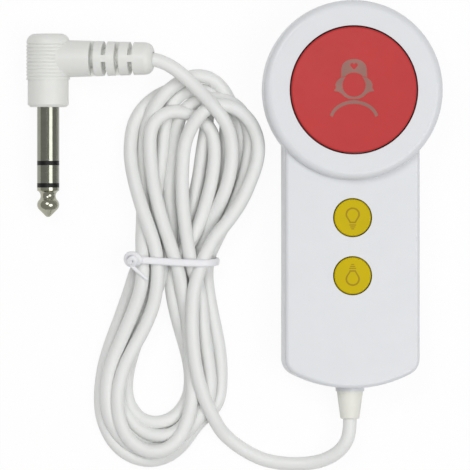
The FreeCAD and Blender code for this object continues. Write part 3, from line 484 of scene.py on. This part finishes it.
TIE_BAND = (
    (-62.9, -18.2, 8.6), (-62.2, -18.2, 10.6), (-60.4, -18.3, 11.75), (-55.5, -18.6, 11.85),
    (-50.4, -18.95, 11.9), (-46.0, -19.15, 11.85), (-42.0, -19.2, 11.7), (-39.4, -19.05, 10.7),
    (-38.0, -18.8, 8.4), (-37.6, -18.65, 5.5), (-38.0, -18.6, 2.6), (-39.8, -18.6, 0.85),
    (-44.0, -18.6, 0.55), (-52.0, -18.6, 0.55), (-58.5, -18.5, 0.55), (-61.4, -18.4, 1.2),
    (-62.7, -18.3, 3.4), (-63.1, -18.2, 6.2),
)
TIE_KNOT = (
    (-62.6, -18.6, 10.2), (-61.2, -19.2, 11.6), (-60.4, -18.4, 12.5), (-61.1, -17.2, 12.4),
    (-62.6, -16.5, 11.7), (-63.9, -17.0, 10.9), (-64.2, -18.3, 10.4), (-63.5, -19.4, 10.8),
    (-62.3, -19.5, 11.7), (-61.7, -18.6, 12.5), (-62.4, -17.7, 12.7), (-63.3, -18.2, 12.2),
    (-63.3, -19.3, 11.6),
)
TIE_END = (
    (-63.2, -18.9, 11.3), (-62.6, -20.0, 11.6), (-61.4, -21.2, 11.9), (-59.8, -22.5, 11.9),
    (-58.2, -23.9, 11.3),
)
BAND_SIZE, KNOT_SIZE, END_SIZE = (2.1, 0.9), (1.5, 1.3), (1.3, 0.8)     # width and thickness
END_TAPER = 0.7


def make_tie():
    mesh = bmesh.new()
    ribbon(mesh, TIE_BAND, *BAND_SIZE, across=(0, 1, 0), closed=True)
    ribbon(mesh, TIE_KNOT, *KNOT_SIZE)
    ribbon(mesh, TIE_END, *END_SIZE, taper=END_TAPER)
    tie = finish_mesh("tie", mesh, tie_skin, HANDSET)
    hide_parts("hank_tie")


make_tie()


# The spring under the call button, in millimetres

SPRING_TURNS = 4.5
SPRING_RADIUS = 5.6
SPRING_WIRE = 0.4
TURN_STEPS = 24
CALL_CENTRE_Y = 30.15


def make_spring():
    low, high = (corner[2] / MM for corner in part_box("call_spring"))
    bottom, rise = low + SPRING_WIRE, high - low - 2 * SPRING_WIRE
    steps = int(SPRING_TURNS * TURN_STEPS)
    coil = []
    for step in range(steps + 1):
        angle = 2 * math.pi * SPRING_TURNS * step / steps
        coil.append((SPRING_RADIUS * math.cos(angle),
                     CALL_CENTRE_Y + SPRING_RADIUS * math.sin(angle),
                     bottom + rise * step / steps))
    curve = smooth_curve("call_coil_line", coil, SPRING_WIRE * MM)
    line = bpy.data.objects.new("call_coil_line", curve)
    mesh = bpy.data.meshes.new_from_object(line)
    mesh.materials.clear()
    bpy.data.objects.remove(line)
    spring = piece("call_coil", mesh, spring_steel)
    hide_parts("call_spring")
    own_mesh(spring)


make_spring()


# Signs printed on the buttons: a plain nurse and two light bulbs. Their outlines are in
# millimetres, for the right half only, which is then mirrored.

SIGN_DEPTH = 0.08
SIGN_SUNK = 0.04
JOIN_WITHIN = 1e-6


def arc(radius_x, radius_y, start, end, steps, centre):
    angles = [math.radians(start + (end - start) * step / steps) for step in range(steps + 1)]
    return [(centre[0] + radius_x * math.cos(angle), centre[1] + radius_y * math.sin(angle))
            for angle in angles]


FACE_CENTRE = (0, 1.3)
CAP_MIDDLE = (0, 6.3)
BODY_CENTRE = (0, -8.6)
HEART = [(0, 7.3), (0.2, 7.55), (0.6, 7.7), (1.0, 7.4), (1.05, 6.85), (0.6, 6.3), (0, 5.7)]
HAIR_OUTSIDE = [(0, -2.7), (1.5, -2.55), (2.7, -1.95), (3.6, -1.1), (4.5, -0.55), (5.8, -0.3),
                (5.2, 0.5), (5.35, 1.5), (4.8, 2.6), (3.7, 3.5)]
CAP = ([(0, 4.9)] + arc(3.6, 3.6, 84, 44, 8, FACE_CENTRE) + [(3.75, 3.65), (3.6, 6.3)]
       + arc(3.5, 2.45, 2, 90, 10, CAP_MIDDLE) + HEART)
HAIR = arc(3.3, 3.3, 46, -90, 22, FACE_CENTRE) + HAIR_OUTSIDE
SHOULDERS = ([(0, -2.95)] + arc(7.1, 5.6, 88, 14, 12, BODY_CENTRE)
             + arc(6.2, 4.6, 10, 90, 12, BODY_CENTRE))

GLASS_CENTRE = (0, 0.95)
NECK_OUTSIDE = [(0, -1.55), (0.85, -1.55), (1.2, -0.85), (1.7, -0.1)]
NECK_INSIDE = [(1.3, 0.0), (0.78, -0.8), (0.6, -1.15), (0, -1.15)]
GLASS = (NECK_OUTSIDE + arc(2.05, 1.95, -20, 90, 10, GLASS_CENTRE) + [(0, 2.45)]
         + arc(1.6, 1.5, 90, -20, 10, GLASS_CENTRE) + NECK_INSIDE)
BASE_BARS = ((-1.95, 0.95), (-2.5, 0.7), (-3.05, 0.4))      # top and half width
BAR_HEIGHT = 0.28
BASE = [[(0, top), (wide, top), (wide, top - BAR_HEIGHT), (0, top - BAR_HEIGHT)]
        for top, wide in BASE_BARS]

NURSE_SIGN = [CAP, HAIR, SHOULDERS]
BULB_SIGN = [GLASS] + BASE
BULB_ON_ITS_HEAD = [[(x, -y) for x, y in outline] for outline in BULB_SIGN]


def make_sign(name, outlines, surface, button, centre_y):
    """A thin sign of both halves of the outlines, laid on the face of the button, dished or not."""
    sign = bmesh.new()
    for outline in outlines:
        for half in (outline, [(-x, y) for x, y in outline][::-1]):
            sign.faces.new([sign.verts.new(Vector((x, y, 0)) * MM) for x, y in half])
    bmesh.ops.remove_doubles(sign, verts=sign.verts, dist=JOIN_WITHIN)
    bmesh.ops.triangulate(sign, faces=list(sign.faces))
    grown = bmesh.ops.extrude_face_region(sign, geom=list(sign.faces))
    for item in grown["geom"]:
        if isinstance(item, bmesh.types.BMVert):
            item.co.z += SIGN_DEPTH * MM

    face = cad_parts[button].data
    tree = BVHTree.FromPolygons([corner.co for corner in face.vertices],
                                [tuple(side.vertices) for side in face.polygons])
    for corner in sign.verts:
        corner.co.y += centre_y * MM
        below = tree.ray_cast(Vector((corner.co.x, corner.co.y, 1)), Vector((0, 0, -1)))[0]
        corner.co.z += below.z - SIGN_SUNK * MM
    finish_mesh(name, sign, surface, button, smooth=False)


def middle_y(node):
    low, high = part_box(node)
    return (low[1] + high[1]) / 2 / MM


make_sign("call_sign", NURSE_SIGN, call_ink, "call_button", CALL_CENTRE_Y)
make_sign("light_on_sign", BULB_SIGN, light_ink, "light_on_button", middle_y("light_on_button"))
make_sign("light_off_sign", BULB_ON_ITS_HEAD, light_ink, "light_off_button",
          middle_y("light_off_button"))


# Floor and light

FLOOR_HALF = 1.5
FLOOR_Z = -0.1 * MM
FLOOR_GREY = 0.9
FLOOR_ROUGHNESS = 0.9
FLOOR_GLOW = 0.93           # share of plain white that the camera and the gloss see
LAMP_AIM = (-0.03, -0.01, 0)
WORLD_STRENGTH = 0.42


def make_floor():
    mesh = bpy.data.meshes.new("floor")
    corners = [(x * FLOOR_HALF, y * FLOOR_HALF, FLOOR_Z)
               for x, y in ((-1, -1), (1, -1), (1, 1), (-1, 1))]
    mesh.from_pydata(corners, [], [(0, 1, 2, 3)])
    floor = bpy.data.objects.new("floor", mesh)
    bpy.context.scene.collection.objects.link(floor)
    surface = Surface("floor")
    surface.shader.inputs["Base Color"].default_value = (FLOOR_GREY, FLOOR_GREY, FLOOR_GREY, 1)
    surface.shader.inputs["Roughness"].default_value = FLOOR_ROUGHNESS
    glow = surface.node("ShaderNodeEmission", Strength=1.0)
    rays = surface.node("ShaderNodeLightPath")
    seen = surface.node("ShaderNodeMath")
    seen.operation = "MAXIMUM"
    surface.link(rays.outputs["Is Camera Ray"], seen.inputs[0])
    surface.link(rays.outputs["Is Glossy Ray"], seen.inputs[1])
    share = surface.node("ShaderNodeMath")
    share.operation = "MULTIPLY"
    share.inputs[1].default_value = FLOOR_GLOW
    surface.link(seen.outputs[0], share.inputs[0])
    both = surface.node("ShaderNodeMixShader")
    surface.link(share.outputs[0], both.inputs["Fac"])
    surface.link(surface.shader.outputs["BSDF"], both.inputs[1])
    surface.link(glow.outputs["Emission"], both.inputs[2])
    output = surface.tree.nodes["Material Output"]
    surface.link(both.outputs["Shader"], output.inputs["Surface"])
    mesh.materials.append(surface.material)


def make_lamp(name, place, size, watts):
    data = bpy.data.lights.new(name, "AREA")
    data.shape = "DISK"
    data.size = size
    data.energy = watts
    lamp = bpy.data.objects.new(name, data)
    bpy.context.scene.collection.objects.link(lamp)
    lamp.location = place
    lamp.rotation_mode = "QUATERNION"
    lamp.rotation_quaternion = (Vector(place) - Vector(LAMP_AIM)).to_track_quat("Z", "Y")


def make_world():
    world = bpy.data.worlds.new("world")
    world.use_nodes = True
    background = world.node_tree.nodes["Background"]
    background.inputs["Color"].default_value = (1, 1, 1, 1)
    background.inputs["Strength"].default_value = WORLD_STRENGTH
    bpy.context.scene.world = world
    bpy.context.scene.view_settings.view_transform = "Standard"


make_floor()
make_lamp("key", place=(-0.33, 0.33, 0.95), size=0.5, watts=2.9)
make_lamp("overhead", place=(0.30, -0.15, 0.90), size=0.7, watts=3.8)
make_world()
